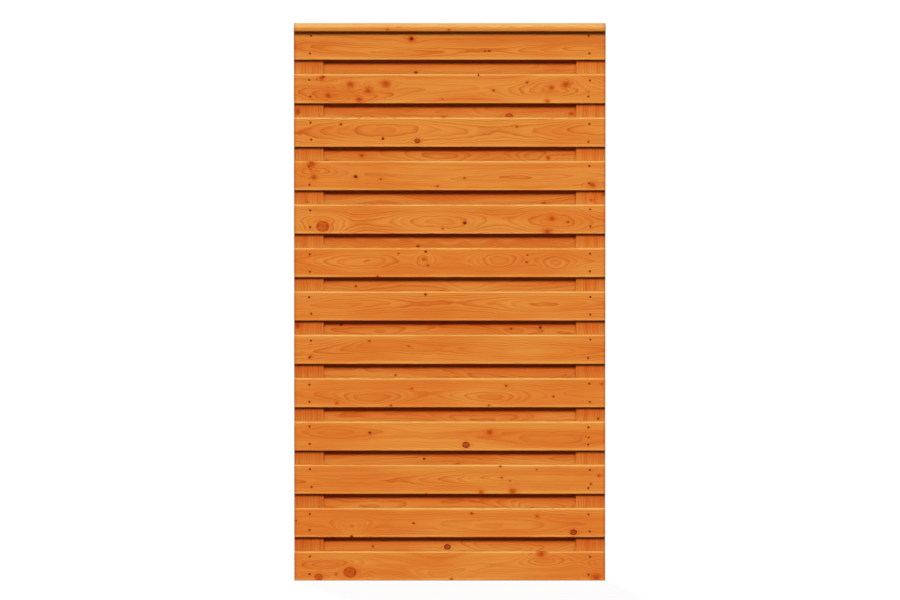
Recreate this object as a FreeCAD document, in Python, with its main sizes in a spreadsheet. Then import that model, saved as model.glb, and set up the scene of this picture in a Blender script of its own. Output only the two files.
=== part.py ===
import FreeCAD, Part
import Sketcher
import os

# Slatted privacy fence panel of the hit-and-miss kind, in planed and stained softwood.
# Boards on the front of two uprights leave gaps, and boards on their back stand behind those gaps,
# so that air passes and the view doesn't. One more plank lies flat on top as the cap.
# X runs along the panel, Z is up and the front faces -Y. All sizes are in millimetres.
# The origin is at the foot of the left upright, on its outer edge and in the middle of its thickness.

# Driving sizes: a name, a value and what it measures.
DRIVING_SIZES = [
    ("panel_width", "1000", "boards and cap, over both uprights"),
    ("front_boards", "13", "number of boards on the front"),
    ("board_width", "95", "front and back boards, up the panel"),
    ("board_thickness", "16", "front and back boards"),
    ("board_gap", "45.75", "open height between two boards of one side"),
    ("upright_width", "95", "along the panel"),
    ("upright_thickness", "16", "between the front boards and the back boards"),
    ("cap_width", "95", "from front to back"),
    ("cap_thickness", "16", "plank lying flat on the panel"),
    ("edge_radius", "4", "rounding of the long edges of every plank"),
]

# Worked-out sizes, as expressions on the sheet. The lowest front board is flush with the foot, and the
# uprights end level with the highest one, so that the cap rests on them and on that board.
PITCH = "(Sizes.board_width + Sizes.board_gap)"
STACK_HEIGHT = f"((Sizes.front_boards - 1) * {PITCH} + Sizes.board_width)"
UPRIGHT_FRONT = "(-Sizes.upright_thickness / 2)"
UPRIGHT_BACK = "(Sizes.upright_thickness / 2)"

# Numbers by which a sketch names the ends of a line, its own origin and the first four lines.
LINE_START, LINE_END = 1, 2
SKETCH_ORIGIN = (-1, 1)
BOTTOM, RIGHT, TOP, LEFT = range(4)

OUTPUT_FOLDER = "parts"
PARALLEL = 1e-6


def add_size_sheet(doc):
    """The sheet of driving sizes, one to a row, each with its name as alias."""
    sheet = doc.addObject("Spreadsheet::Sheet", "Sizes")
    for row, (alias, value, note) in enumerate(DRIVING_SIZES, start=1):
        sheet.set(f"A{row}", alias)
        sheet.set(f"B{row}", value)
        sheet.setAlias(f"B{row}", alias)
        sheet.set(f"C{row}", note)
    doc.recompute()
    return sheet


def base_plane(body, role):
    """The plane of the body's own origin that has this role."""
    for feature in body.Origin.OriginFeatures:
        if feature.Role == role:
            return feature
    raise ValueError(f"{body.Label} has no {role}")


def draw_section(sketch, width, height):
    """A rectangle from the sketch's origin, with its width and height bound to expressions."""
    corners = [(0, 0), (2, 0), (2, 1), (0, 1)]
    points = [FreeCAD.Vector(x, y, 0) for x, y in corners]
    for start, end in zip(points, points[1:] + points[:1]):
        sketch.addGeometry(Part.LineSegment(start, end), False)
    for line, following in ((BOTTOM, RIGHT), (RIGHT, TOP), (TOP, LEFT), (LEFT, BOTTOM)):
        corner = Sketcher.Constraint("Coincident", line, LINE_END, following, LINE_START)
        sketch.addConstraint(corner)
    for line in (BOTTOM, TOP):
        sketch.addConstraint(Sketcher.Constraint("Horizontal", line))
    for line in (RIGHT, LEFT):
        sketch.addConstraint(Sketcher.Constraint("Vertical", line))
    sketch.addConstraint(Sketcher.Constraint("Coincident", BOTTOM, LINE_START, *SKETCH_ORIGIN))
    across = sketch.addConstraint(
        Sketcher.Constraint("DistanceX", BOTTOM, LINE_START, BOTTOM, LINE_END, 2.0)
    )
    upward = sketch.addConstraint(
        Sketcher.Constraint("DistanceY", RIGHT, LINE_START, RIGHT, LINE_END, 1.0)
    )
    for number, name, size in ((across, "width", width), (upward, "height", height)):
        sketch.renameConstraint(number, name)
        sketch.setExpression(f"Constraints.{name}", size)


def edges_along(shape, direction):
    """Names of the shape's straight edges that run along the direction."""
    return [
        f"Edge{number}"
        for number, edge in enumerate(shape.Edges, start=1)
        if edge.Curve.Direction.cross(direction).Length < PARALLEL
    ]


def add_plank(doc, name, plane, section, length, place):
    """A plank: a section drawn on a base plane, padded to its length, with its long edges rounded.

    On YZ_Plane the section lies across Y and Z and the plank runs along X. On XY_Plane the section
    lies across X and Y and the plank stands along Z. The place is that of its lowest corner.
    """
    body = doc.addObject("PartDesign::Body", name)
    body.Label = name
    sketch = body.newObject("Sketcher::SketchObject", f"{name}_section")
    sketch.AttachmentSupport = [(base_plane(body, plane), "")]
    sketch.MapMode = "FlatFace"
    draw_section(sketch, *section)
    pad = body.newObject("PartDesign::Pad", f"{name}_length")
    pad.Profile = sketch
    pad.setExpression("Length", length)
    doc.recompute()
    rounding = body.newObject("PartDesign::Fillet", f"{name}_rounding")
    run = {"YZ_Plane": FreeCAD.Vector(1, 0, 0), "XY_Plane": FreeCAD.Vector(0, 0, 1)}[plane]
    rounding.Base = (pad, edges_along(pad.Shape, run))
    rounding.setExpression("Radius", "Sizes.edge_radius")
    body.Tip = rounding
    for axis, value in zip("xyz", place):
        body.setExpression(f"Placement.Base.{axis}", value)
    return body


def add_boards(doc, side, count, front_y, lowest_z):
    """The boards of one side, numbered from the top down and spaced by the pitch."""
    return [
        add_plank(
            doc,
            f"{side}_board_{number:02d}",
            "YZ_Plane",
            ("Sizes.board_thickness", "Sizes.board_width"),
            "Sizes.panel_width",
            ("0", front_y, f"{lowest_z} + {count - number} * {PITCH}"),
        )
        for number in range(1, count + 1)
    ]


def add_upright(doc, name, left_x):
    """An upright, standing from the foot to the underside of the cap."""
    section = ("Sizes.upright_width", "Sizes.upright_thickness")
    return add_plank(doc, name, "XY_Plane", section, STACK_HEIGHT, (left_x, UPRIGHT_FRONT, "0"))


def add_cap(doc):
    """The cap, centred on the thickness of the panel and flush with the board ends."""
    section = ("Sizes.cap_width", "Sizes.cap_thickness")
    place = ("0", "-Sizes.cap_width / 2", STACK_HEIGHT)
    return add_plank(doc, "top_cap", "YZ_Plane", section, "Sizes.panel_width", place)


def check_document(doc, planks):
    """Stop if any object failed or any plank is not one valid solid."""
    for item in doc.Objects:
        if "Invalid" in item.State or "Error" in item.State:
            raise RuntimeError(f"{item.Label} did not recompute: {item.State}")
    for plank in planks:
        shape = plank.Shape
        if shape.isNull() or not shape.isValid() or len(shape.Solids) != 1:
            raise RuntimeError(f"{plank.Label} is not one valid solid")


def write_planks(planks):
    """One STEP file for each plank, named by its label."""
    os.makedirs(OUTPUT_FOLDER, exist_ok=True)
    for plank in planks:
        plank.Shape.exportStep(os.path.join(OUTPUT_FOLDER, f"{plank.Label}.step"))


def build():
    """The whole panel: both sides of boards, the uprights between them and the cap on top."""
    doc = FreeCAD.newDocument("FencePanel")
    sheet = add_size_sheet(doc)
    front_boards = int(sheet.front_boards)
    front_y = f"{UPRIGHT_FRONT} - Sizes.board_thickness"
    planks = add_boards(doc, "front", front_boards, front_y, "0")
    # Each back board is centred on a gap, half a pitch above the front board below it.
    planks += add_boards(doc, "back", front_boards - 1, UPRIGHT_BACK, f"{PITCH} / 2")
    planks.append(add_upright(doc, "left_upright", "0"))
    planks.append(add_upright(doc, "right_upright", "Sizes.panel_width - Sizes.upright_width"))
    planks.append(add_cap(doc))
    doc.recompute()
    check_document(doc, planks)
    write_planks(planks)
    return planks


planks = build()
box = FreeCAD.BoundBox()
for plank in planks:
    box.add(plank.Shape.BoundBox)
volume = sum(plank.Shape.Volume for plank in planks)
print(f"{len(planks)} planks, {box.XLength:.2f} by {box.YLength:.2f} by {box.ZLength:.2f} mm")
print(f"{volume / 1e9:.5f} cubic metres of wood")
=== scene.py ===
# %% [markdown]
# # A slatted privacy fence panel
#
# The object is one garden fence panel of the hit-and-miss kind. Planed softwood boards are screwed to
# the front and the back of two uprights, and a board on one side stands behind each gap of the other,
# so that wind passes and the view is closed. One more plank lies flat on top and sheds the rain.
#
# The construction comes from a CAD model, which is loaded first. It fixes where every plank is, and
# this script gives each plank its real surface: eased ends, countersinks, grain, knots and stain.

# %% Load the frame
import math
import random

import bmesh
import bpy
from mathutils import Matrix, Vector


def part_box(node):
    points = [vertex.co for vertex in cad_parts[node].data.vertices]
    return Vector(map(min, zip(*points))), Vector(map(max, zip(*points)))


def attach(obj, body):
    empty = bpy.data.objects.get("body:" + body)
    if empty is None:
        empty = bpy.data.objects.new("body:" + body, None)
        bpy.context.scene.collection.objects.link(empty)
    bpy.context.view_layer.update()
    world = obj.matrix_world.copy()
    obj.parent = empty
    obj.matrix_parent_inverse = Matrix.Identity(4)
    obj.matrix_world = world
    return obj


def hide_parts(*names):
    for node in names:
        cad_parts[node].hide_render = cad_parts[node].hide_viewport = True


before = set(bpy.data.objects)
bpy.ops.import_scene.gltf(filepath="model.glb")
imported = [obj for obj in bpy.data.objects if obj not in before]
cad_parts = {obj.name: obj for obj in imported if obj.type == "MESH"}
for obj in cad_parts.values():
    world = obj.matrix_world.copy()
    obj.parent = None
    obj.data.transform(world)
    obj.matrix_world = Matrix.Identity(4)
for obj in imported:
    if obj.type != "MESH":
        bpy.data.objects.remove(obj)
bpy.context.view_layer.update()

# %% [markdown]
# ## Where the planks are
#
# Boards and cap run along X, the uprights along Z. Each plank is described by the axis that it runs
# along, the one across its broad face and the one through its thickness, so that one mesh function and
# one wood material serve them all.

# %% Describe every plank
X, Y, Z = 0, 1, 2


class Plank:
    """One piece of timber: its node, its box and which way it lies."""

    def __init__(self, node, run, across, through):
        self.node = node
        self.run, self.across, self.through = run, across, through
        self.low, self.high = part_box(node)
        self.middle = (self.low + self.high) / 2
        self.length = self.high[run] - self.low[run]
        self.width = self.high[across] - self.low[across]
        self.thickness = self.high[through] - self.low[through]


front = [Plank(n, X, Z, Y) for n in sorted(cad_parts) if n.startswith("front_board")]
back = [Plank(n, X, Z, Y) for n in sorted(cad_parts) if n.startswith("back_board")]
uprights = [Plank(n, Z, X, Y) for n in ("left_upright", "right_upright")]
cap = Plank("top_cap", X, Y, Z)
planks = front + back + uprights + [cap]

PANEL_WIDTH = front[0].length
PANEL_HEIGHT = cap.high[Z]
PITCH = front[0].low[Z] - front[1].low[Z]
print(len(planks), "planks, pitch", round(PITCH * 1000, 2), "mm")

# %% [markdown]
# ## The camera
#
# The photo looks at the panel nearly straight on, from slightly above, because the top of the cap shows
# as a thin bright strip. The panel is as wide at its top as at its foot there, so the camera stood far
# away behind a long lens. Here it stands 70 metres away, and the lens follows from the width that the
# panel has in the photo.

# %% Set the camera
PHOTO_WIDTH, PHOTO_HEIGHT = 900, 600
PANEL_LEFT_PX, PANEL_RIGHT_PX, PANEL_FOOT_PX = 294.4, 605.1, 580.6
CAMERA_RAISE = math.radians(8.0)
CAMERA_DISTANCE = 70.0
SENSOR_WIDTH = 36.0
VIEW_REACH = 200.0


def add_object(name, data):
    """A new object in the scene."""
    made = bpy.data.objects.new(name, data)
    bpy.context.scene.collection.objects.link(made)
    return made


px_per_metre = (PANEL_RIGHT_PX - PANEL_LEFT_PX) / PANEL_WIDTH
up_in_view = Vector((0, math.sin(CAMERA_RAISE), math.cos(CAMERA_RAISE)))
towards_camera = Vector((0, -math.cos(CAMERA_RAISE), math.sin(CAMERA_RAISE)))
view_foot = Vector((0, front[0].low[Y], 0)).dot(up_in_view)
# How far the panel's middle and its foot are from the middle of the photo, to the right and downward.
off_right = ((PANEL_LEFT_PX + PANEL_RIGHT_PX) / 2 - PHOTO_WIDTH / 2) / px_per_metre
off_down = (PANEL_FOOT_PX - PHOTO_HEIGHT / 2) / px_per_metre
aim = Vector((PANEL_WIDTH / 2 - off_right, 0, 0)) + up_in_view * (view_foot + off_down)

camera = add_object("camera", bpy.data.cameras.new("camera"))
camera.data.sensor_width = SENSOR_WIDTH
camera.data.lens = SENSOR_WIDTH * CAMERA_DISTANCE * px_per_metre / PHOTO_WIDTH
camera.data.clip_end = VIEW_REACH
camera.location = aim + towards_camera * CAMERA_DISTANCE
camera.rotation_euler = (math.pi / 2 - CAMERA_RAISE, 0, 0)
bpy.context.scene.camera = camera
print("lens", round(camera.data.lens, 1), "mm,", round(px_per_metre, 1), "pixels to the metre")

# %% [markdown]
# ## Writing shader maths as Python
#
# A wood grain is mostly arithmetic on a place in the plank. Drawn as separate nodes it is hard to read,
# so a small class wraps a node's output and turns `+`, `*` and their kin into Math nodes. Everything
# else comes from one method that takes a node's type, its settings and its inputs.


# %% Wrap sockets and nodes
class Value:
    """A number that varies over a surface, as an output of the node tree."""

    def __init__(self, nodes, socket):
        self.nodes, self.socket = nodes, socket

    def __add__(self, other):
        return self.nodes.maths("ADD", self, other)

    def __sub__(self, other):
        return self.nodes.maths("SUBTRACT", self, other)

    def __rsub__(self, other):
        return self.nodes.maths("SUBTRACT", other, self)

    def __mul__(self, other):
        return self.nodes.maths("MULTIPLY", self, other)

    def __truediv__(self, other):
        return self.nodes.maths("DIVIDE", self, other)

    def __rtruediv__(self, other):
        return self.nodes.maths("DIVIDE", other, self)

    __radd__ = __add__
    __rmul__ = __mul__


class Nodes:
    """An emptied node tree, and the means to add nodes to it."""

    def __init__(self, tree):
        self.tree = tree
        tree.nodes.clear()

    def feed(self, socket, value):
        """Link a value into a socket, or set the socket to it."""
        if isinstance(value, Value):
            self.tree.links.new(value.socket, socket)
        else:
            socket.default_value = value

    def node(self, kind, settings=(), inputs=(), output=0):
        """Add a node, set it up, feed its inputs and return one of its outputs."""
        made = self.tree.nodes.new(kind)
        for name, value in dict(settings).items():
            setattr(made, name, value)
        for name, value in dict(inputs).items():
            self.feed(made.inputs[name], value)
        return Value(self, made.outputs[output])

    def maths(self, operation, first, second=0.0):
        return self.node("ShaderNodeMath", {"operation": operation}, {0: first, 1: second})

    def vector(self, operation, first, second=(0, 0, 0), output=0):
        inputs = {0: first, 1: second}
        return self.node("ShaderNodeVectorMath", {"operation": operation}, inputs, output)

    def join(self, x, y, z):
        return self.node("ShaderNodeCombineXYZ", (), {0: x, 1: y, 2: z})

    def part(self, vector, axis):
        return self.node("ShaderNodeSeparateXYZ", (), {0: vector}, axis)

    def ease(self, value, start, end, low=0.0, high=1.0):
        """Go smoothly from low to high as the value goes from start to end."""
        settings = {"interpolation_type": "SMOOTHSTEP"}
        inputs = {"Value": value, "From Min": start, "From Max": end, "To Min": low, "To Max": high}
        return self.node("ShaderNodeMapRange", settings, inputs)

    def mix(self, factor, first, second, blend="MIX"):
        """Mix two colours."""
        settings = {"data_type": "RGBA", "blend_type": blend}
        return self.node("ShaderNodeMix", settings, {0: factor, 6: first, 7: second}, 2)

    def tint(self, amount, colour, tone):
        """Multiply a colour by a tone, as far as the amount says."""
        return self.mix(amount, colour, tone, "MULTIPLY")

    def noise(self, vector, scale, detail=2.0, roughness=0.5):
        """Smooth noise from 0 to 1, about 0.5 on average."""
        inputs = {"Vector": vector, "Scale": scale, "Detail": detail, "Roughness": roughness}
        return self.node("ShaderNodeTexNoise", {"noise_dimensions": "3D"}, inputs)


class Paint(Nodes):
    """A material with its Principled shader."""

    def __init__(self, name):
        self.material = bpy.data.materials.new(name)
        self.material.use_nodes = True
        super().__init__(self.material.node_tree)
        self.shader = self.tree.nodes.new("ShaderNodeBsdfPrincipled")
        self.surface = self.tree.nodes.new("ShaderNodeOutputMaterial")
        self.tree.links.new(self.shader.outputs[0], self.surface.inputs["Surface"])

    def finish(self, **sockets):
        """Feed the shader's own sockets, whose names have _ for a space."""
        for name, value in sockets.items():
            self.feed(self.shader.inputs[name.replace("_", " ")], value)
        return self.material


# %% [markdown]
# ## Knots seen in the photo
#
# A knot is a branch that the saw cut through. It has the same place on both faces of a plank, and the
# grain flows round it. The larger knots were read off the photo. Sound knots are reddish
# smudges, and the ones called round have a clear outline. Loose knots have a dark ring of bark, dead
# ones are dark, and pins are brown dots.

# %% List the knots
SOUND, ROUND, LOOSE, DEAD, PIN = "sound", "round", "loose", "dead", "pin"
# For each plank: the knot's place in the photo, its radius there and its kind, all in pixels.
PHOTO_KNOTS = {
    "front_board_01": [
        (411, 38.7, 3.2, SOUND), (411.6, 38.4, 1.7, DEAD), (485, 50.8, 0.8, PIN), (489, 50.8, 1, DEAD),
    ],
    "front_board_02": [
        (322.4, 77.8, 2.5, SOUND), (350.6, 84.3, 3.6, SOUND), (368.5, 90.5, 3, SOUND),
        (328.4, 95, 3, SOUND), (386, 83.8, 4.5, SOUND), (359.8, 99.5, 3.2, SOUND),
        (478.5, 74.8, 1.1, DEAD), (526.7, 82, 1.2, PIN), (493.3, 89.9, 1.2, PIN),
        (442.2, 98.7, 0.7, PIN), (551.2, 87.2, 2.3, SOUND), (565.7, 84, 4.2, SOUND),
        (547, 100.8, 2.2, SOUND), (324, 76.6, 0.9, DEAD),
    ],
    "front_board_03": [
        (341.4, 123.7, 1.2, DEAD), (383, 138, 1.5, DEAD), (417.5, 140.4, 2.3, LOOSE),
        (516.7, 126.2, 1.1, PIN),
    ],
    "front_board_04": [
        (312, 163, 4, SOUND), (314.3, 176.6, 3, SOUND), (355.8, 176, 1.9, DEAD),
        (381, 178.6, 1.1, PIN), (437.4, 185.6, 1.1, PIN), (464.4, 177.4, 1, PIN),
        (592, 184.6, 3, SOUND), (311, 168.5, 1.4, SOUND),
    ],
    "front_board_05": [
        (323, 225.7, 5.2, ROUND), (442.8, 227.6, 1.4, SOUND), (464.9, 222.2, 1.7, DEAD),
        (567.8, 221.2, 1.1, PIN), (547.3, 231.2, 4.2, SOUND), (552, 218, 2.6, SOUND),
    ],
    "front_board_06": [
        (426, 251, 1.3, DEAD), (398.7, 253, 0.9, PIN), (428, 264.7, 1.1, PIN),
        (377.7, 275.8, 1, PIN), (527.4, 254.3, 0.9, PIN), (526.4, 261.6, 1.2, PIN),
        (424, 258.5, 2, SOUND),
    ],
    "front_board_07": [(425.5, 293.8, 1.3, DEAD)],
    "front_board_08": [(369.4, 340.4, 1.2, PIN), (408.9, 345.7, 0.8, PIN), (311, 356, 1.6, SOUND)],
    "front_board_09": [
        (337, 402.4, 1.5, SOUND), (391, 405, 1.1, PIN), (506, 385, 1.2, PIN), (412, 388, 1.3, SOUND),
        (553.2, 395.8, 1.2, PIN), (488.7, 404.8, 1, PIN), (601.4, 383.4, 1.4, SOUND),
    ],
    "front_board_10": [
        (370, 432.2, 1.4, DEAD), (489.7, 431.8, 3.2, SOUND), (466, 444.4, 2.9, LOOSE),
        (588.5, 437, 0.9, DEAD), (585.6, 436, 0.7, PIN),
    ],
    "front_board_11": [
        (500.4, 466, 1.2, PIN), (536.6, 469, 0.9, PIN), (501.7, 477.3, 1, PIN),
        (510, 480.4, 0.8, DEAD), (512.7, 490.8, 3.6, SOUND), (481, 492, 2.4, SOUND),
        (598.7, 475.3, 1.5, SOUND), (590.7, 483.5, 1.2, PIN), (426.5, 493.6, 1, PIN),
    ],
    "front_board_12": [
        (296.3, 520.4, 0.9, DEAD), (413.7, 523, 1, DEAD), (351.7, 536.4, 1.6, DEAD),
        (471.6, 513, 1.1, DEAD), (537, 515.8, 1.7, SOUND), (573.4, 532.1, 2.7, LOOSE),
    ],
    "front_board_13": [
        (350, 572.2, 5.2, ROUND), (318.8, 576.9, 3.3, ROUND), (541.2, 553, 4.4, SOUND),
        (596.3, 577.6, 4.2, SOUND), (451.5, 579, 1.2, PIN), (336, 574, 1.3, SOUND),
    ],
    "back_board_01": [(416, 72, 1.5, DEAD)],
    "back_board_02": [(509, 116, 3.2, ROUND), (571, 113, 2.4, SOUND)],
    "back_board_03": [(362, 155, 2, SOUND), (548, 157, 2.2, SOUND)],
    "back_board_04": [(544, 203, 1.8, SOUND)],
    "back_board_05": [(418, 245.5, 1.2, DEAD)],
    "back_board_06": [(356, 285.6, 1.2, PIN)],
    "back_board_07": [(341.4, 324, 1.3, DEAD), (540.4, 326.6, 1.5, DEAD), (511, 328, 1, PIN)],
    "back_board_08": [(395.6, 374.5, 1.2, PIN)],
    "back_board_10": [(424, 458.3, 1.2, DEAD)],
    "back_board_12": [(373, 546.2, 1.3, PIN), (447.4, 546.7, 2.6, LOOSE)],
    "left_upright": [(298, 111, 3.4, SOUND), (307.5, 201, 1.2, SOUND), (297.5, 325, 2.4, SOUND)],
    "right_upright": [(590.7, 199.6, 1.5, SOUND), (603, 194, 1.8, SOUND), (598, 418, 1.2, DEAD)],
    "top_cap": [
        (325, 23.5, 0.8, PIN), (388, 27.6, 1.3, SOUND), (449, 28.6, 1.5, SOUND), (502, 23.8, 0.8, PIN),
    ],
}
print(sum(len(k) for k in PHOTO_KNOTS.values()), "knots read from the photo")

# %% [markdown]
# ## From the photo to the planks
#
# A pixel becomes a place on a plank by the panel's width and the pitch of its boards in the photo. Most
# knots show on a broad face, but those low on the cap show on its front edge. The back boards get a few
# more where the front boards hide them, so that the back isn't bare.

# %% Place the knots
BOARD_PITCH_PX = 43.41
CAP_MIDDLE_PX, CAP_ARRIS_PX, CAP_EDGE_MIDDLE_PX = 23.2, 25.5, 27.5
# A knot is round along the plank, and across (1) on a broad face or in depth (2) on the cap's edge.
ON_FACE, ON_EDGE = 1, 2
# Hidden knots in metres: kind and radius, and how far from a board's edge they are.
HIDDEN_KNOTS = ((ROUND, 0.010), (SOUND, 0.008), (DEAD, 0.004), (PIN, 0.003))
HIDDEN_FROM_EDGE, HIDDEN_STRAY = 0.012, 0.004


def on_plank(plank, px, py):
    """The place of a photo pixel along and across a plank, in metres from the plank's low corner."""
    from_left = (px - PANEL_LEFT_PX) / px_per_metre
    height = (PANEL_FOOT_PX - py) / BOARD_PITCH_PX * PITCH
    # The camera looks down, so what lies behind the front boards shows higher than it is.
    height -= (plank.low[Y] - front[0].low[Y]) * math.tan(CAMERA_RAISE)
    if plank.run == Z:
        return height, from_left - plank.low[X]
    if plank is cap:
        across = (CAP_MIDDLE_PX - py) / px_per_metre / math.sin(CAMERA_RAISE)
        return from_left, min(max(plank.width / 2 + across, 0.0), plank.width)
    return from_left, height - plank.low[Z]


def hidden_knots(board, draw):
    """Two to four knots near the edges of a back board."""
    found = []
    for kind, radius in HIDDEN_KNOTS[: draw.randint(2, 4)]:
        edge = draw.choice((HIDDEN_FROM_EDGE, board.width - HIDDEN_FROM_EDGE))
        across = edge + draw.uniform(-HIDDEN_STRAY, HIDDEN_STRAY)
        along = draw.uniform(0.04, 0.96) * board.length
        found.append(((along, across, 0.0), radius, kind, ON_FACE))
    return found


def knots_of(plank):
    """Knots of a plank as (centre, radius, kind, faced), in metres along, across and through."""
    found = []
    for px, py, radius, kind in PHOTO_KNOTS.get(plank.node, []):
        along, across = on_plank(plank, px, py)
        faced = ON_FACE
        through = 0.0
        if plank is cap and py > CAP_ARRIS_PX:
            faced = ON_EDGE
            through = (CAP_EDGE_MIDDLE_PX - py) / px_per_metre
        found.append(((along, across, through), radius / px_per_metre, kind, faced))
    if plank in back:
        found += hidden_knots(plank, random.Random(plank.node))
    return found


print(sum(len(knots_of(p)) for p in planks), "knots with the hidden ones")

# %% [markdown]
# ## Screws
#
# Two countersunk screws hold each board end to its upright. Hand-driven screws never line up exactly,
# so each one strays a little, with a fixed seed that gives the same panel on every run.

# %% Place the screws
SCREW_FROM_END = 0.0521
SCREW_FROM_LOWER_EDGE = 0.0205
SCREW_FROM_UPPER_EDGE = 0.0170
SCREW_STRAY = 0.0038
CAP_SCREWS_FROM_END = (0.025, 0.070)
SCATTER_SEED = 11
scatter = random.Random(SCATTER_SEED)


def stray():
    return scatter.uniform(-SCREW_STRAY, SCREW_STRAY)


def screws_of_board(board):
    """Places along and across a board, from its low corner."""
    ends = (SCREW_FROM_END, board.length - SCREW_FROM_END)
    edges = (SCREW_FROM_LOWER_EDGE, board.width - SCREW_FROM_UPPER_EDGE)
    return [(end + stray(), edge + stray()) for end in ends for edge in edges]


def screws_of_cap():
    """Places on the cap, over the ends of the uprights."""
    starts = CAP_SCREWS_FROM_END + tuple(cap.length - s for s in CAP_SCREWS_FROM_END)
    return [(start + stray(), cap.width / 2 + stray() / 2) for start in starts]


for board in front + back:
    board.screws = screws_of_board(board)
for upright in uprights:
    upright.screws = []
cap.screws = screws_of_cap()
# The side of the thickness that the heads are on: the low side on the front, else the high side.
for plank in planks:
    plank.side = -1 if plank in front else 1
print(sum(len(p.screws) for p in planks), "screws")

# %% [markdown]
# ## The shape of a plank
#
# A planed plank is a long box with its four long edges rounded over. The photo shows a bright line
# along the top edge of every board, where the rounding catches the light, so it is real geometry. The
# box is beveled, and loops are cut beside the bevels so that the broad faces stay flat in the shading.

# %% Shape a plank
EDGE_RADIUS, EDGE_SEGMENTS = 0.004, 6
END_EASE, END_SEGMENTS = 0.0006, 3
HOLD = 0.0006
LOOP_STEP = 0.025
CLEAR_OF_SCREW = 0.014
CUT_TOLERANCE = 1e-7


def whole(bm):
    return bm.verts[:] + bm.edges[:] + bm.faces[:]


def unit(axis):
    return Vector([1.0 if i == axis else 0.0 for i in range(3)])


def cut(bm, geometry, axis, at):
    """Cut the geometry by the plane across an axis at a coordinate."""
    point, normal = unit(axis) * at, unit(axis)
    bmesh.ops.bisect_plane(bm, geom=geometry, dist=CUT_TOLERANCE, plane_co=point, plane_no=normal)


def round_over(bm, edges, radius, segments):
    """Round these edges."""
    bmesh.ops.bevel(
        bm, geom=edges, offset=radius, offset_type="OFFSET", segments=segments,
        profile=0.5, affect="EDGES", material=-1,
    )


def reach_of(edge, axis):
    """How far an edge goes along an axis."""
    start, end = edge.verts
    return abs(start.co[axis] - end.co[axis])


def plank_box(plank):
    """The plank's box with rounded long edges and slightly eased ends."""
    bm = bmesh.new()
    bmesh.ops.create_cube(bm, size=1.0)
    bmesh.ops.scale(bm, vec=plank.high - plank.low, verts=bm.verts)
    bmesh.ops.translate(bm, vec=plank.middle, verts=bm.verts)
    long_edges = [e for e in bm.edges if reach_of(e, plank.run) > plank.length / 2]
    round_over(bm, long_edges, EDGE_RADIUS, EDGE_SEGMENTS)
    rims = [e for e in bm.edges if reach_of(e, plank.run) < plank.length / 2]
    round_over(bm, rims, END_EASE, END_SEGMENTS)
    return bm


def cut_loops(bm, plank):
    """Holding loops beside the roundings, and loops along the plank that stay clear of the screws."""
    inset = EDGE_RADIUS + HOLD
    for axis in (plank.across, plank.through):
        cut(bm, whole(bm), axis, plank.low[axis] + inset)
        cut(bm, whole(bm), axis, plank.high[axis] - inset)
    columns = [along for along, _ in plank.screws]
    for step in range(1, round(plank.length / LOOP_STEP)):
        along = step * LOOP_STEP
        if all(abs(along - column) > CLEAR_OF_SCREW for column in columns):
            cut(bm, whole(bm), plank.run, plank.low[plank.run] + along)


print("long edges rounded to", EDGE_RADIUS * 1000, "mm")

# %% [markdown]
# ## Countersinks
#
# Each screw sits in a countersink. The broad face gets a small square round the screw, which is inset,
# and its inner corners are moved onto a circle. The circle is inset again and pushed in, down to the
# shank, because the recess in the head is deep and would show wood otherwise.

# %% Sink the screws
PATCH = 0.0068
PATCH_CUTS = 3
# The countersink's radius and depth at its mouth, at the rim of the head and at the shank.
SINK_STEPS = ((0.0040, 0.0), (0.0036, 0.0007), (0.0019, 0.0033))


def broad_faces(bm, plank):
    """Flat faces on the side that the screw heads are on."""
    return [f for f in bm.faces if f.normal[plank.through] * plank.side > 0.999]


def parts_of(faces):
    """The faces with their edges and corners."""
    edges = {e for f in faces for e in f.edges}
    corners = {v for f in faces for v in f.verts}
    return list(corners) + list(edges) + list(faces)


def face_around(bm, plank, along, across):
    """The broad face that holds a place on the plank."""
    for face in broad_faces(bm, plank):
        run = [v.co[plank.run] for v in face.verts]
        side = [v.co[plank.across] for v in face.verts]
        if min(run) < along < max(run) and min(side) < across < max(side):
            return face
    raise ValueError(f"{plank.node} has no broad face at {along:.4f}, {across:.4f}")


def onto_circle(face, centre, radius, plank, depth):
    """Move a face's corners onto a circle round the centre, at a depth below the broad face."""
    for corner in face.verts:
        spoke = corner.co - centre
        spoke[plank.through] = 0
        corner.co = centre + spoke.normalized() * radius - unit(plank.through) * plank.side * depth


def sink_screw(bm, plank, along, across):
    """A countersink at this place."""
    run_at = plank.low[plank.run] + along
    side_at = plank.low[plank.across] + across
    for axis, at in ((plank.run, run_at), (plank.across, side_at)):
        for edge in (at - PATCH, at + PATCH):
            cut(bm, parts_of([face_around(bm, plank, run_at, side_at)]), axis, edge)
    patch = face_around(bm, plank, run_at, side_at)
    centre = patch.calc_center_median()
    bmesh.ops.subdivide_edges(bm, edges=patch.edges[:], cuts=PATCH_CUTS)
    patch = face_around(bm, plank, run_at, side_at)
    reach = PATCH
    for radius, depth in SINK_STEPS:
        bmesh.ops.inset_individual(bm, faces=[patch], thickness=reach - radius)
        onto_circle(patch, centre, radius, plank, depth)
        reach = radius


print("countersinks", SINK_STEPS[0][0] * 2000, "mm wide,", SINK_STEPS[-1][1] * 1000, "mm deep")

# %% [markdown]
# ## Meshes and pieces
#
# Planks and screws are finished alike: faces outward, smooth but for sharp edges. Every piece rides on
# the panel and has a finish slot.

# %% Finish a mesh and add a piece
SHARP_ANGLE = math.radians(35)


def finished_mesh(bm, name):
    """A mesh with its faces outward, shaded smooth up to the sharp edges."""
    bmesh.ops.recalc_face_normals(bm, faces=bm.faces)
    mesh = bpy.data.meshes.new(name)
    bm.to_mesh(mesh)
    bm.free()
    mesh.shade_smooth()
    mesh.set_sharp_from_angle(angle=SHARP_ANGLE)
    return mesh


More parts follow.
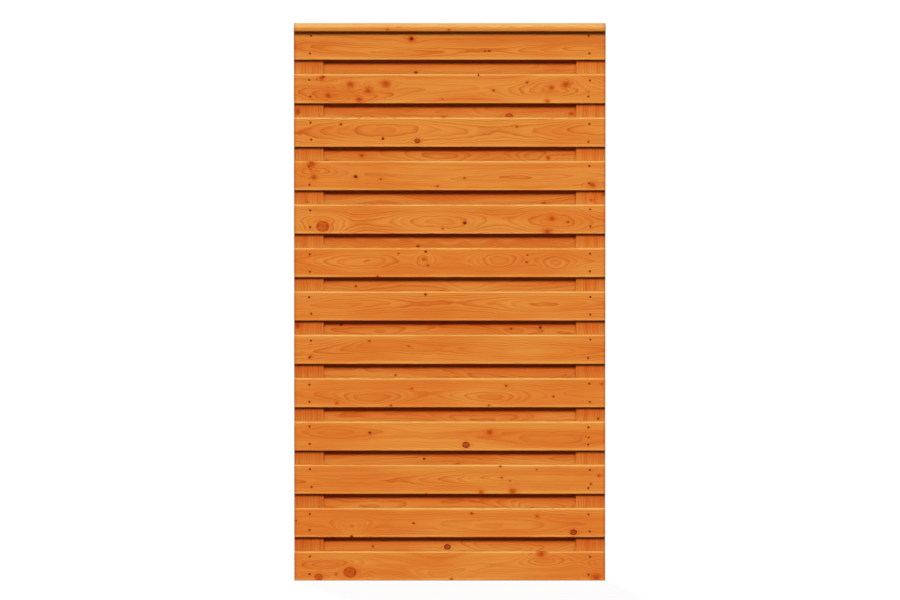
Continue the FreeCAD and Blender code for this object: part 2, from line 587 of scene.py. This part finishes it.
def plank_mesh(plank):
    """The finished mesh of a plank."""
    bm = plank_box(plank)
    cut_loops(bm, plank)
    if plank in front + back:
        # One cut along the middle keeps the screws of the two edges apart.
        cut(bm, parts_of(broad_faces(bm, plank)), plank.across, plank.middle[plank.across])
    for along, across in plank.screws:
        sink_screw(bm, plank, along, across)
    return finished_mesh(bm, f"{plank.node}_planed")


def add_piece(name, mesh, material):
    """An object that rides on the panel, with its material in a slot."""
    mesh.materials.append(material)
    piece = add_object(name, mesh)
    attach(piece, "root")
    print(name, len(mesh.polygons), "faces")
    return piece


# %% [markdown]
# ## Wood
#
# A plank is cut from a trunk, and the lines on its faces are the trunk's yearly rings cut through. So
# the material keeps a trunk: a pith line, which sways behind the plank, and rings of even thickness
# round it. Where a ring meets the broad face at a low angle the lines spread into long arches, where it
# meets it squarely they run straight, and at the sawn end the same rings show as arcs.
#
# Each ring starts with pale early wood and ends with a dark band of late wood. These two colours are
# the base, and stain, painted highlights and painted shade are tones that multiply them.

# %% Choose the colours
WHITE = (1, 1, 1, 1)
EARLY_WOOD = (0.720, 0.236, 0.035, 1)
LATE_WOOD = (0.540, 0.100, 0.008, 1)
TONE_RED = (0.96, 0.80, 0.66, 1)
TONE_GOLD = (1.02, 1.15, 1.25, 1)
# Painted shade: redder wood below an overhang, where less light reaches.
SOFT_SHADE_TONE = (0.90, 0.64, 0.52, 1)
# Painted light: lighter, golder inner faces low in the gaps.
GAP_LIGHT_TONE = (0.92, 1.08, 1.20, 1)
UPRIGHT_TONE = (0.86, 0.92, 0.94, 1)
# Painted shadow: dark wood right below an overhang, where its shadow falls.
UNDERSIDE_SHADOW_TONE = (0.50, 0.50, 0.34, 1)
# Painted highlight on the upper arrises, where the rounding catches light from above.
ARRIS_HIGHLIGHT_TONE = (1.12, 1.62, 2.70, 1)
# Painted highlight along the lower edge of each board.
LOWER_EDGE_HIGHLIGHT_TONE = (1.24, 1.46, 1.95, 1)
UPPER_BAND_TONE = (1.00, 1.06, 1.10, 1)
# Painted highlight on the cap's top, which faces the light.
CAP_TOP_HIGHLIGHT_TONE = (0.92, 1.36, 2.05, 1)
END_TONE = (0.62, 0.50, 0.42, 1)
# Painted shade near the panel's left and right sides.
SIDE_SHADE_TONE = (0.80, 0.68, 0.72, 1)
HALO_TONE = (0.97, 0.78, 0.62, 1)
RIM_TONE = (0.68, 0.36, 0.20, 1)
DARK_RIM_TONE = (0.26, 0.09, 0.04, 1)
print("early wood", EARLY_WOOD[:3], "and late wood", LATE_WOOD[:3])

# %% [markdown]
# ## Places in a plank
#
# Object coordinates are metres in the shared frame. They become places along, across and through the
# plank, so that one material serves all. Noise drawn out along the grain gives fibres and streaks.


# %% Measure along the grain
class Grain:
    """Where a point is in one plank, in metres."""

    def __init__(self, paint, plank):
        self.place = paint.node("ShaderNodeTexCoord", output="Object")
        self.paint = paint
        self.along = paint.part(self.place, plank.run) - plank.low[plank.run]
        self.across = paint.part(self.place, plank.across) - plank.low[plank.across]
        self.depth = paint.part(self.place, plank.through) - plank.middle[plank.through]

    def noise(self, waves_along, waves_across, draw, detail=2.0, roughness=0.5):
        """Noise about 0 with this many waves to the metre, read from a place that the draw picks."""
        start = draw.uniform(0, 90)
        sideways = (self.across * waves_across, self.depth * waves_across)
        place = self.paint.join(self.along * waves_along + start, *sideways)
        return self.paint.noise(place, 1.0, detail, roughness) - 0.5


# %% [markdown]
# ## Grain round the knots
#
# Knots push the rings aside, as a stone parts a stream, and that formula is used for it: the place that
# the rings are read from is shifted, less and less with distance. Round a sound knot the grain is curly
# too, so a fine swirl is added. The same distances colour the knots later on.

# %% Let the grain flow round knots
FLOW_STRENGTH, FLOW_CORE = 1.15, 0.35
# Along the grain the flow reaches further than across it, and a knot is drawn out a little.
FLOW_ALONG, KNOT_ALONG = 0.36, 0.84
SWIRL_WAVES, SWIRL_SIZE, SWIRL_FADE = 75.0, 0.011, 0.5


def nearest(paint, distances):
    """The least of several values."""
    least = distances[0]
    for distance in distances[1:]:
        least = paint.maths("MINIMUM", least, distance)
    return least


def in_radii(paint, offset, radius, faced, along):
    """An offset from a knot's centre in radii, without the direction in which the knot runs."""
    spread = [along / radius, 0.0, 0.0]
    spread[faced] = 1 / radius
    return paint.vector("MULTIPLY", offset, tuple(spread))


def flow_round_knots(paint, grain, knots):
    """The across value that the rings follow, and the distance to the knots of each kind in radii."""
    place = paint.join(grain.along, grain.across, grain.depth)
    swirl = paint.noise(grain.place, SWIRL_WAVES) - 0.5
    across = grain.across
    distances = {}
    for centre, radius, kind, faced in knots:
        offset = paint.vector("SUBTRACT", place, centre)
        drawn_out = in_radii(paint, offset, radius, faced, FLOW_ALONG)
        squared = paint.vector("DOT_PRODUCT", drawn_out, drawn_out, output="Value")
        push = FLOW_STRENGTH / (squared + FLOW_CORE)
        across = across - paint.part(offset, faced) * push
        if kind in (SOUND, ROUND):
            across = across + swirl * (SWIRL_SIZE / (squared * SWIRL_FADE + 1.0))
        oval = in_radii(paint, offset, radius, faced, KNOT_ALONG)
        distances.setdefault(kind, []).append(paint.vector("LENGTH", oval, output="Value"))
    return across, {kind: nearest(paint, found) for kind, found in distances.items()}


print("shift at a knot's rim:", round(FLOW_STRENGTH / (1 + FLOW_CORE), 2), "radii")

# %% [markdown]
# ## How each plank was cut
#
# A plank's look follows from where the pith runs behind it. Where the pith comes nearer, the rings
# close round that place into long ovals, called hearts here. The larger ones of the front boards were
# placed from the photo, and the others are drawn with a seed. Uprights are cut beside the pith,
# so their rings run straight.

# %% Describe the cuts
# For each board: hearts as place in the photo, half length in pixels and the pith's approach in metres.
PHOTO_HEARTS = {
    "front_board_01": [(400, 52, 110, 0.010), (580, 47, 60, 0.016)],
    "front_board_02": [(345, 92, 48, 0.018), (548, 88, 36, 0.016)],
    "front_board_03": [(385, 131, 52, 0.014), (590, 128, 50, 0.012)],
    "front_board_04": [(315, 170, 24, 0.014), (500, 178, 110, 0.012)],
    "front_board_05": [(320, 224, 22, 0.018), (440, 222, 40, 0.014), (552, 222, 34, 0.016)],
    "front_board_06": [
        (360, 262, 46, 0.014), (424, 260, 9, 0.009), (498, 259, 26, 0.016), (556, 262, 20, 0.013),
    ],
    "front_board_07": [(330, 304, 50, 0.008), (540, 303, 52, 0.012)],
    "front_board_08": [(378, 344, 44, 0.012), (530, 350, 80, 0.011)],
    "front_board_09": [(375, 398, 42, 0.014), (490, 396, 38, 0.014)],
    "front_board_10": [(325, 432, 42, 0.012), (560, 438, 60, 0.012)],
    "front_board_11": [(570, 478, 125, 0.030)],
    "front_board_12": [(352, 526, 16, 0.014), (500, 524, 70, 0.008)],
    "front_board_13": [
        (325, 568, 32, 0.014), (440, 574, 30, 0.008), (545, 560, 26, 0.014), (600, 566, 16, 0.014),
    ],
    "back_board_04": [(330, 214, 90, 0.012), (470, 214, 90, 0.012)],
    "back_board_05": [(440, 262, 200, 0.006)],
}
# Two back boards have wavy grain: how far it swings and the length of one wave, in metres.
PHOTO_SWINGS = {"back_board_04": (0.008, 0.36), "back_board_05": (0.006, 0.095)}
# Some boards took the stain redder (below 0) or lighter (above 0) than the rest.
BOARD_SHADES = {
    "front_board_01": 0.08, "front_board_04": -0.10, "front_board_05": -0.05,
    "front_board_11": -0.13, "front_board_12": -0.08, "front_board_13": -0.03,
}
# Painted light: from foot to top the boards get lighter by this much, as if lit more at the top.
PAINTED_LIGHT_OVER_HEIGHT = 0.10


class Look:
    """How a plank was cut from the trunk, in metres, and its shade."""

    def __init__(self, plank, draw):
        self.bark_side = draw.choice((-1, 1))
        self.tone = draw.uniform(-0.03, 0.03)
        # Painted light: higher boards get a lighter tone.
        self.tone += (plank.middle[Z] / PANEL_HEIGHT - 0.6) * PAINTED_LIGHT_OVER_HEIGHT
        self.tone += BOARD_SHADES.get(plank.node, 0.0)
        self.swing = PHOTO_SWINGS.get(plank.node)
        if plank in uprights:
            self.cut_beside_pith()
        else:
            self.cut_over_pith(plank, draw)

    def cut_beside_pith(self):
        self.tone = 0.02
        self.waviness, self.wobble, self.contrast = 1.0, 2.6, 0.80
        self.pith_across, self.pith_depth = -0.10, 0.025
        self.ring_width = 0.0085
        self.hearts = []

    def cut_over_pith(self, plank, draw):
        self.waviness, self.wobble = 1.0, 1.8
        self.contrast = 1.2 if self.swing else 0.80
        self.pith_across = plank.width / 2 + draw.uniform(-0.010, 0.010)
        self.pith_depth = draw.uniform(0.036, 0.048)
        self.ring_width = draw.uniform(0.0034, 0.0042)
        if plank.node in PHOTO_HEARTS:
            self.hearts = [
                (*on_plank(plank, px, py), half / px_per_metre, dip)
                for px, py, half, dip in PHOTO_HEARTS[plank.node]
            ]
        else:
            self.waviness = 1.6
            self.hearts = [self.drawn_heart(plank, draw) for _ in range(3)]

    def drawn_heart(self, plank, draw):
        """A heart anywhere on the plank, with its half length and how near the pith comes."""
        place = (draw.uniform(0, plank.length), plank.width * draw.uniform(0.2, 0.8))
        return (*place, draw.uniform(0.05, 0.22), draw.uniform(0.004, 0.011))


print(sum(len(h) for h in PHOTO_HEARTS.values()), "hearts from the photo")

# %% [markdown]
# ## Yearly rings
#
# The ring at a point is its distance from the pith over the width of a ring. A real trunk isn't round,
# so the pith sways and drifts and the rings ripple, each by its own noise.

# %% Count the yearly rings
# How far the trunk strays from a straight round one, in metres.
SWAY_SIZE, DRIFT_SIZE, RIPPLE_SIZE = 0.030, 0.016, 0.0095
SWING_DRIFT = 160.0


def count_rings(paint, grain, look, draw, across):
    """Years counted outward from the pith, and the distance from it in metres."""
    sway = grain.noise(1.6, 0.0, draw, 1.0) * SWAY_SIZE
    drift = grain.noise(2.2, 5.0, draw, 1.0) * DRIFT_SIZE
    ripple = grain.noise(20.0, 34.0, draw) * RIPPLE_SIZE
    centre = sway + look.pith_across
    behind = drift * look.waviness + look.pith_depth
    for along_at, across_at, length, dip in look.hearts:
        far = (grain.along - along_at) / length
        bell = paint.maths("EXPONENT", 0.0 - far * far)
        centre = centre + bell * (across_at - look.pith_across)
        behind = behind - bell * dip
    sideways = across - centre + ripple + drift * look.waviness
    if look.swing:
        size, length = look.swing
        turn = grain.along * (math.tau / length) + drift * SWING_DRIFT
        sideways = sideways + paint.maths("SINE", turn) * size
    inward = behind - grain.depth * look.bark_side
    distance = paint.maths("SQRT", sideways * sideways + inward * inward)
    wobble = grain.noise(9.0, 27.0, draw, 2.5) * look.wobble
    return distance / look.ring_width + wobble, distance


def late_wood(paint, rings, seed):
    """How far a point is into the dark part of its ring, from 0 to 1. Some years are darker."""
    age = paint.maths("FRACT", rings)
    year = paint.maths("FLOOR", rings)
    strength = paint.node("ShaderNodeTexWhiteNoise", {"noise_dimensions": "1D"}, {"W": year + seed})
    late = paint.ease(age, 0.22, 0.92) * 0.62 + paint.ease(age, 0.68, 0.92) * 0.38
    return late * paint.ease(age, 1.0, 0.92) * (strength * 0.7 + 0.3)


print("the pith sways by up to", SWAY_SIZE / 2 * 1000, "mm")

# %% [markdown]
# ## Painted shade under overhangs
#
# Under the cap and under each board of the other side the wood gets a redder painted shade, and right
# below such an overhang a dark painted shadow. The height of a point tells how far below one it is.

# %% Find where shade is painted
# Metres below an overhang at which an effect starts and is full.
UNDER_CAP, UNDER_CAP_DARK = (0.055, 0.014), (0.019, 0.011)
UNDER_BOARD, UNDER_BOARD_DARK = (0.043, 0.014), (0.024, 0.012)
ON_UPRIGHT_DARK = (0.015, 0.0075)
# How strong the painted shade below the cap is.
CAP_SHADE_STRENGTH = 0.35


def overhang_shade_masks(paint, plank, grain):
    """Masks of the painted shade below an overhang, and of the painted shadow right under it."""
    height = (grain.along if plank.run == Z else grain.across) + plank.low[Z]
    under_cap = cap.low[Z] - height
    painted_soft_shade = paint.ease(under_cap, *UNDER_CAP) * CAP_SHADE_STRENGTH
    shaded = paint.ease(under_cap, *UNDER_CAP_DARK)
    dark = ON_UPRIGHT_DARK if plank in uprights else UNDER_BOARD_DARK
    for boards, side in ((front, -1), (back, 1)):
        if plank not in boards:
            below = (1.0 - paint.maths("FRACT", (height - boards[0].low[Z]) / PITCH)) * PITCH
            facing = paint.ease(grain.depth * side, 0.0, plank.thickness * 0.3)
            painted_soft_shade = paint.maths("MAXIMUM", painted_soft_shade, paint.ease(below, *UNDER_BOARD) * facing)
            shaded = paint.maths("MAXIMUM", shaded, paint.ease(below, *dark) * facing)
    return painted_soft_shade, shaded


print("darkest down to", UNDER_BOARD_DARK[1] * 1000, "mm below an overhang")

# %% [markdown]
# ## The knots' own colours
#
# A knot has rings of its own, a darker eye and often a rim of bark. All of it is mixed in by the
# distance from the knot's centre in radii, with some noise, because no knot is quite round.

# %% Show the knots
# For each kind of knot: its tone, where it starts and is full in radii, how ragged it is, and its rim.
KNOT_LOOKS = {
    SOUND: ((0.82, 0.48, 0.28, 1), 1.30, 0.20, 1.6, 0.10),
    ROUND: ((0.88, 0.62, 0.42, 1), 1.20, 0.75, 0.45, 0.85),
    LOOSE: ((0.70, 0.42, 0.38, 1), 1.20, 0.80, 0.45, 1.00),
    DEAD: ((0.28, 0.11, 0.05, 1), 1.20, 0.60, 0.9, 0.00),
    PIN: ((0.46, 0.23, 0.10, 1), 1.30, 0.50, 0.8, 0.00),
}
HALO_STRENGTH = 0.6
KNOT_RINGS, KNOT_RING_STRENGTH = 19.0, 0.42
EYE_STRENGTH, FLECK_STRENGTH = 0.35, 0.40


def show_knots(paint, colour, knots, gnarl):
    """The colour with its knots, and a mask of them."""
    mask = None
    for kind, distance in knots.items():
        tone, start, full, ragged, rim_strength = KNOT_LOOKS[kind]
        near = distance + gnarl * ragged
        core = paint.ease(near, start, full)
        halo = paint.ease(near, 2.8, 1.0) * HALO_STRENGTH
        colour = paint.tint(halo, colour, HALO_TONE)
        colour = paint.tint(core, colour, tone)
        if rim_strength:
            rings = paint.maths("SINE", near * KNOT_RINGS) * 0.5 + 0.5
            colour = paint.tint(rings * core * KNOT_RING_STRENGTH, colour, RIM_TONE)
            patchy = paint.ease(gnarl, -0.14, 0.06, 0.35, 1.0)
            rim = paint.ease(near, 0.58, 0.90) * paint.ease(near, 1.20, 0.98) * patchy * rim_strength
            colour = paint.tint(rim, colour, DARK_RIM_TONE if kind == LOOSE else RIM_TONE)
            eye = paint.ease(near, 0.42, 0.12) * EYE_STRENGTH
            colour = paint.tint(eye, colour, RIM_TONE)
            flecks = paint.ease(gnarl, -0.02, 0.16) * core * FLECK_STRENGTH
            colour = paint.tint(flecks, colour, RIM_TONE)
        mask = core if mask is None else paint.maths("MAXIMUM", mask, core)
    return colour, mask


# %% [markdown]
# ## Painted edge light and end grain
#
# The upper arrises, the lower edges and the cap's top get a painted highlight, and the boards near the
# panel's sides a painted shade. A band below each board's top edge is a little golder. The sawn ends
# drink more stain than the faces and are darker.

# %% Paint light on the edges
# Metres from an edge or an end at which an effect starts and is full. For the cap: height in the plank.
CAP_TOP_HIGHLIGHT_FROM = (-0.001, 0.0055)
ARRIS_HIGHLIGHT_FROM, UPPER_BAND_FROM, LOWER_EDGE_HIGHLIGHT_FROM = (0.0060, 0.0028), (0.026, 0.008), (0.0120, 0.0010)
SIDE_FROM, END_GRAIN_FROM = (0.0100, 0.0020), (0.0011, 0.0002)
ARRIS_HIGHLIGHT_BOARD, ARRIS_HIGHLIGHT_UPRIGHT = 0.9, 0.35
# Below 1, so that the painted highlight reaches further over the edge than down the broad face.
EDGE_SCALE = 0.8


def edge_light_and_end_grain(paint, plank, grain, colour):
    """Painted edge highlights and side shade, a golder upper band, and the darker end grain."""
    if plank is cap:
        # Painted highlight on the cap's top.
        colour = paint.tint(paint.ease(grain.depth, *CAP_TOP_HIGHLIGHT_FROM), colour, CAP_TOP_HIGHLIGHT_TONE)
    else:
        from_upper = plank.width - grain.across
        from_face = plank.thickness / 2 - paint.maths("ABSOLUTE", grain.depth)
        if plank in uprights:
            from_upper = paint.maths("MINIMUM", from_upper, grain.across)
        arris = paint.maths("MAXIMUM", from_upper, from_face * EDGE_SCALE)
        # Painted highlight on the upper arrises.
        arris_highlight = paint.ease(arris, *ARRIS_HIGHLIGHT_FROM) * (ARRIS_HIGHLIGHT_UPRIGHT if plank in uprights else ARRIS_HIGHLIGHT_BOARD)
        colour = paint.tint(arris_highlight, colour, ARRIS_HIGHLIGHT_TONE)
        if plank not in uprights:
            colour = paint.tint(paint.ease(from_upper, *UPPER_BAND_FROM), colour, UPPER_BAND_TONE)
            # Painted highlight along the lower edge.
            colour = paint.tint(paint.ease(grain.across, *LOWER_EDGE_HIGHLIGHT_FROM), colour, LOWER_EDGE_HIGHLIGHT_TONE)
    from_left = paint.part(grain.place, X)
    to_side = paint.maths("MINIMUM", from_left, PANEL_WIDTH - from_left)
    # Painted shade near the panel's sides.
    colour = paint.tint(paint.ease(to_side, *SIDE_FROM), colour, SIDE_SHADE_TONE)
    to_end = paint.maths("MINIMUM", grain.along, plank.length - grain.along)
    end_grain = paint.ease(to_end, *END_GRAIN_FROM)
    return paint.tint(end_grain, colour, END_TONE), end_grain


# %% [markdown]
# ## The finished wood
#
# One material for each plank brings all this together: first the bare wood, then its shade of stain,
# its painted shade under overhangs, knots, painted edge light and end grain. Fibres and late wood stand
# a little proud in the bump and are duller.

# %% Stain the wood
FIBRE_DARK, STREAK_DARK, ALL_DARK = 0.52, 0.50, 0.12
# The uprights are darker and redder towards the foot, and the left one is darker all over.
UPRIGHT_DARK_SLOPE, UPRIGHT_TONE_SLOPE, LEFT_UPRIGHT_DARKER = 0.30, 0.16, 0.15
BAND_WAVES, BAND_WAVES_ALONG = 62.0, 0.8
BAND_TONE, EDGE_TONE = 1.1, 0.14
STAIN_STRENGTH = 0.9
BOARD_ROUGHNESS, CAP_ROUGHNESS = 0.52, 0.80
GNARL_WAVES = 120.0
BUMP_STRENGTH, BUMP_DISTANCE = 0.15, 0.0006
SPECULAR = 0.06


def bare_wood(paint, plank, grain, look, late, fibre, streak):
    """The colour of early and late wood, streaks and fibres."""
    dark = late * look.contrast + streak * STREAK_DARK + fibre * FIBRE_DARK + ALL_DARK
    if plank in uprights:
        dark = dark + (0.5 - grain.along / plank.length) * UPRIGHT_DARK_SLOPE
        if plank is uprights[0]:
            dark = dark + LEFT_UPRIGHT_DARKER
    return paint.mix(paint.node("ShaderNodeClamp", (), {0: dark}), EARLY_WOOD, LATE_WOOD)


def stain(paint, plank, grain, look, blotch, band):
    """The tone of the stain, from red to gold."""
    off_middle = (grain.across - plank.width / 2) / (plank.width / 2)
    tone = blotch + band * BAND_TONE + off_middle * off_middle * EDGE_TONE + look.tone
    if plank in uprights:
        tone = tone + (grain.along / plank.length - 0.5) * UPRIGHT_TONE_SLOPE
    return paint.mix(paint.ease(tone, -0.20, 0.28), TONE_RED, TONE_GOLD)


def paint_overhang_shade(paint, plank, grain, colour):
    """Painted shade: redder below an overhang, a painted shadow right under it, and painted gap light.
    """
    painted_soft_shade, shaded = overhang_shade_masks(paint, plank, grain)
    if plank in uprights:
        unshaded_tone = UPRIGHT_TONE
    else:
        # Painted light: the face towards the uprights, which shows through the gaps of the other side,
        # is made lighter and golder.
        inner = paint.ease(grain.depth * -plank.side, 0.0, 0.002)
        unshaded_tone = paint.mix(inner, WHITE, GAP_LIGHT_TONE)
    # Painted shade below overhangs, mixed with the tone of the open faces.
    colour = paint.tint(1.0, colour, paint.mix(painted_soft_shade, unshaded_tone, SOFT_SHADE_TONE))
    # Painted shadow right under each overhang.
    return paint.tint(shaded, colour, UNDERSIDE_SHADOW_TONE)


def wood(plank, seed):
    """The stained wood of one plank."""
    draw = random.Random(seed)
    look = Look(plank, draw)
    paint = Paint(f"wood_{plank.node}")
    grain = Grain(paint, plank)
    across, knots = flow_round_knots(paint, grain, knots_of(plank))
    rings, distance = count_rings(paint, grain, look, draw, across)
    late = late_wood(paint, rings, seed)
    fibre = grain.noise(11.0, 300.0, draw, 4.0, 0.68)
    streak = grain.noise(1.6, 70.0, draw, 3.0, 0.6)
    blotch = grain.noise(3.0, 11.0, draw)
    place = paint.join(distance * BAND_WAVES, grain.along * BAND_WAVES_ALONG, seed)
    band = paint.noise(place, 1.0, 1.0) - 0.5

    colour = bare_wood(paint, plank, grain, look, late, fibre, streak)
    tone = stain(paint, plank, grain, look, blotch, band)
    colour = paint.tint(STAIN_STRENGTH, colour, tone)
    if plank is not cap:
        # Painted shade and painted shadow below the overhangs.
        colour = paint_overhang_shade(paint, plank, grain, colour)
    gnarl = paint.noise(grain.place, GNARL_WAVES) - 0.5 + fibre * 0.2
    colour, knot_mask = show_knots(paint, colour, knots, gnarl)
    colour, end_grain = edge_light_and_end_grain(paint, plank, grain, colour)

    height = fibre + late * 0.35
    if knot_mask is not None:
        height = height + knot_mask * 0.4
    inputs = {"Strength": BUMP_STRENGTH, "Distance": BUMP_DISTANCE, "Height": height}
    bump = paint.node("ShaderNodeBump", (), inputs, "Normal")
    base = CAP_ROUGHNESS if plank is cap else BOARD_ROUGHNESS
    rough = base + fibre * 0.25 + late * 0.06 + end_grain * 0.25
    return paint.finish(Base_Color=colour, Roughness=rough, Normal=bump, Specular_IOR_Level=SPECULAR)


# %% [markdown]
# ## Put the planks in place
#
# Every plank replaces its CAD node and stays exactly where that node is.

# %% Make the planks
FIRST_SEED = 101

for index, plank in enumerate(planks):
    material = wood(plank, FIRST_SEED + index)
    piece = add_piece(f"{plank.node}_planed", plank_mesh(plank), material)
    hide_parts(plank.node)

# %% [markdown]
# ## Screw heads
#
# A countersunk head is a short cone, wide side up, with a recess for the driver. One head is modelled
# and then repeated, and all the heads of one side are joined in one mesh.

# %% Shape a screw head
HEAD_RADIUS, SHANK_RADIUS, HEAD_DEPTH = 0.0035, 0.0020, 0.0028
HEAD_SEGMENTS = 18
RIM_WIDTH, RIM_RISE = 0.0003, 0.0001
DRIVE_RADIUS, DRIVE_DEPTH, DRIVE_TAPER = 0.0013, 0.0024, 0.0003
HEAD_BELOW_FACE = 0.0004


def head_place(plank, along, across):
    """The middle of a head that is seated in its countersink."""
    surface = plank.middle[plank.through] + plank.side * plank.thickness / 2
    sunk = plank.side * (HEAD_BELOW_FACE + HEAD_DEPTH / 2)
    place = unit(plank.run) * (plank.low[plank.run] + along)
    place += unit(plank.across) * (plank.low[plank.across] + across)
    return place + unit(plank.through) * (surface - sunk)


def add_head(bm, plank, along, across):
    """One screw head, seated in its countersink."""
    earlier = set(bm.verts)
    made = bmesh.ops.create_cone(
        bm, cap_ends=True, segments=HEAD_SEGMENTS, radius1=SHANK_RADIUS, radius2=HEAD_RADIUS,
        depth=HEAD_DEPTH,
    )
    faces = {f for v in made["verts"] for f in v.link_faces}
    top = max(faces, key=lambda f: f.calc_center_median().z)
    bmesh.ops.inset_individual(bm, faces=[top], thickness=RIM_WIDTH, depth=RIM_RISE)
    bmesh.ops.inset_individual(bm, faces=[top], thickness=HEAD_RADIUS - DRIVE_RADIUS - RIM_WIDTH)
    bmesh.ops.inset_individual(bm, faces=[top], thickness=DRIVE_TAPER, depth=-DRIVE_DEPTH)
    corners = [v for v in bm.verts if v not in earlier]
    outward = unit(plank.through) * plank.side
    turn = Vector((0, 0, 1)).rotation_difference(outward).to_matrix().to_4x4()
    bmesh.ops.transform(bm, matrix=turn, verts=corners)
    bmesh.ops.translate(bm, vec=head_place(plank, along, across), verts=corners)


# %% Make the screws
STEEL_DARK, STEEL_LIGHT = (0.200, 0.020, 0.0006, 1), (0.290, 0.034, 0.0010, 1)
RUST_WAVES = 420.0


def screw_steel():
    """Brown-coated steel, dulled by the weather and by the stain brushed over it."""
    paint = Paint("screw_steel")
    place = paint.node("ShaderNodeTexCoord", output="Object")
    rust = paint.noise(place, RUST_WAVES, 3.0, 0.6)
    colour = paint.mix(paint.ease(rust, 0.40, 0.65), STEEL_DARK, STEEL_LIGHT)
    rough = paint.ease(rust, 0.3, 0.7, 0.60, 0.85)
    return paint.finish(Base_Color=colour, Roughness=rough, Metallic=0.0, Specular_IOR_Level=SPECULAR)


steel = screw_steel()
for name, group in (("front_screws", front), ("back_screws", back), ("cap_screws", [cap])):
    bm = bmesh.new()
    for plank in group:
        for along, across in plank.screws:
            add_head(bm, plank, along, across)
    add_piece(name, finished_mesh(bm, name), steel)

# %% [markdown]
# ## Floor
#
# The photo's background is plain white. The floor is a large plane that shows nearly white to the
# camera but is grey to the light, so that it doesn't wipe out the shadows under the boards.

# %% Lay the floor
FLOOR_SIZE = 150.0
FLOOR_GREY, FLOOR_SHOWN = (0.10, 0.10, 0.10, 1), (0.9, 0.9, 0.9, 1)
SHOWN_WHITE = 0.88


def seen_directly(nodes):
    """1 for rays that show the background: from the camera, off a gloss or through glass."""
    camera_ray = nodes.node("ShaderNodeLightPath", output="Is Camera Ray")
    glossy_ray = nodes.node("ShaderNodeLightPath", output="Is Glossy Ray")
    through_ray = nodes.node("ShaderNodeLightPath", output="Is Transmission Ray")
    return nodes.maths("MAXIMUM", nodes.maths("MAXIMUM", camera_ray, glossy_ray), through_ray)


paint = Paint("floor")
white_glow = paint.node("ShaderNodeEmission", (), {"Color": WHITE, "Strength": 1.0})
direct = seen_directly(paint)
ground = paint.finish(Base_Color=paint.mix(direct, FLOOR_GREY, FLOOR_SHOWN), Roughness=0.9)
stone = Value(paint, paint.shader.outputs[0])
blend = paint.node("ShaderNodeMixShader", (), {0: direct * SHOWN_WHITE, 1: stone, 2: white_glow})
paint.feed(paint.surface.inputs["Surface"], blend)

bm = bmesh.new()
bmesh.ops.create_grid(bm, x_segments=1, y_segments=1, size=FLOOR_SIZE / 2)
mesh = bpy.data.meshes.new("floor")
bm.to_mesh(mesh)
bm.free()
mesh.materials.append(ground)
floor = add_object("floor", mesh)
print("floor", FLOOR_SIZE, "metres wide")

# %% [markdown]
# ## Light
#
# The light comes from the front and above, because each board throws a clear shadow on the one behind
# it. Beside the uprights the photo shows only faint shadows on both sides, so three lamps stand in a
# row, all at the same height. A soft one is overhead, and others light the back and the ends.

# %% Light the panel
# For each lamp: the direction from the panel to it, its strength and how wide it looks in degrees.
LAMPS = {
    "key": ((0.0, -1.0, 0.60), 1.95, 12),
    "key_left": ((-0.45, -1.0, 0.60), 0.65, 12),
    "key_right": ((0.45, -1.0, 0.60), 0.70, 12),
    "overhead": ((0.0, -0.15, 1.0), 0.45, 90),
    "back": ((-0.35, 1.0, 0.60), 3.2, 12),
    "left": ((-1.0, 0.0, 0.15), 1.3, 12),
    "right": ((1.0, 0.0, 0.15), 1.3, 12),
}

for name, (direction, strength, width) in LAMPS.items():
    lamp = add_object(name, bpy.data.lights.new(name, "SUN"))
    lamp.data.energy = strength
    lamp.data.angle = math.radians(width)
    lamp.rotation_euler = Vector(direction).to_track_quat("Z", "Y").to_euler()
print(len(LAMPS), "lamps")

# %% [markdown]
# ## Sky
#
# The sky too shows white and gives little light. The Standard view leaves the colours as they are set.

# %% Make the sky
SKY_STRENGTH, SKY_SHOWN = 0.06, 1.0

world = bpy.data.worlds.new("studio")
bpy.context.scene.world = world
world.use_nodes = True
sky = Nodes(world.node_tree)
limits = {"Value": seen_directly(sky), "To Min": SKY_STRENGTH, "To Max": SKY_SHOWN}
brightness = sky.node("ShaderNodeMapRange", (), limits)
backdrop = sky.node("ShaderNodeBackground", (), {"Strength": brightness})
world_out = sky.tree.nodes.new("ShaderNodeOutputWorld")
sky.feed(world_out.inputs["Surface"], backdrop)
bpy.context.scene.view_settings.view_transform = "Standard"
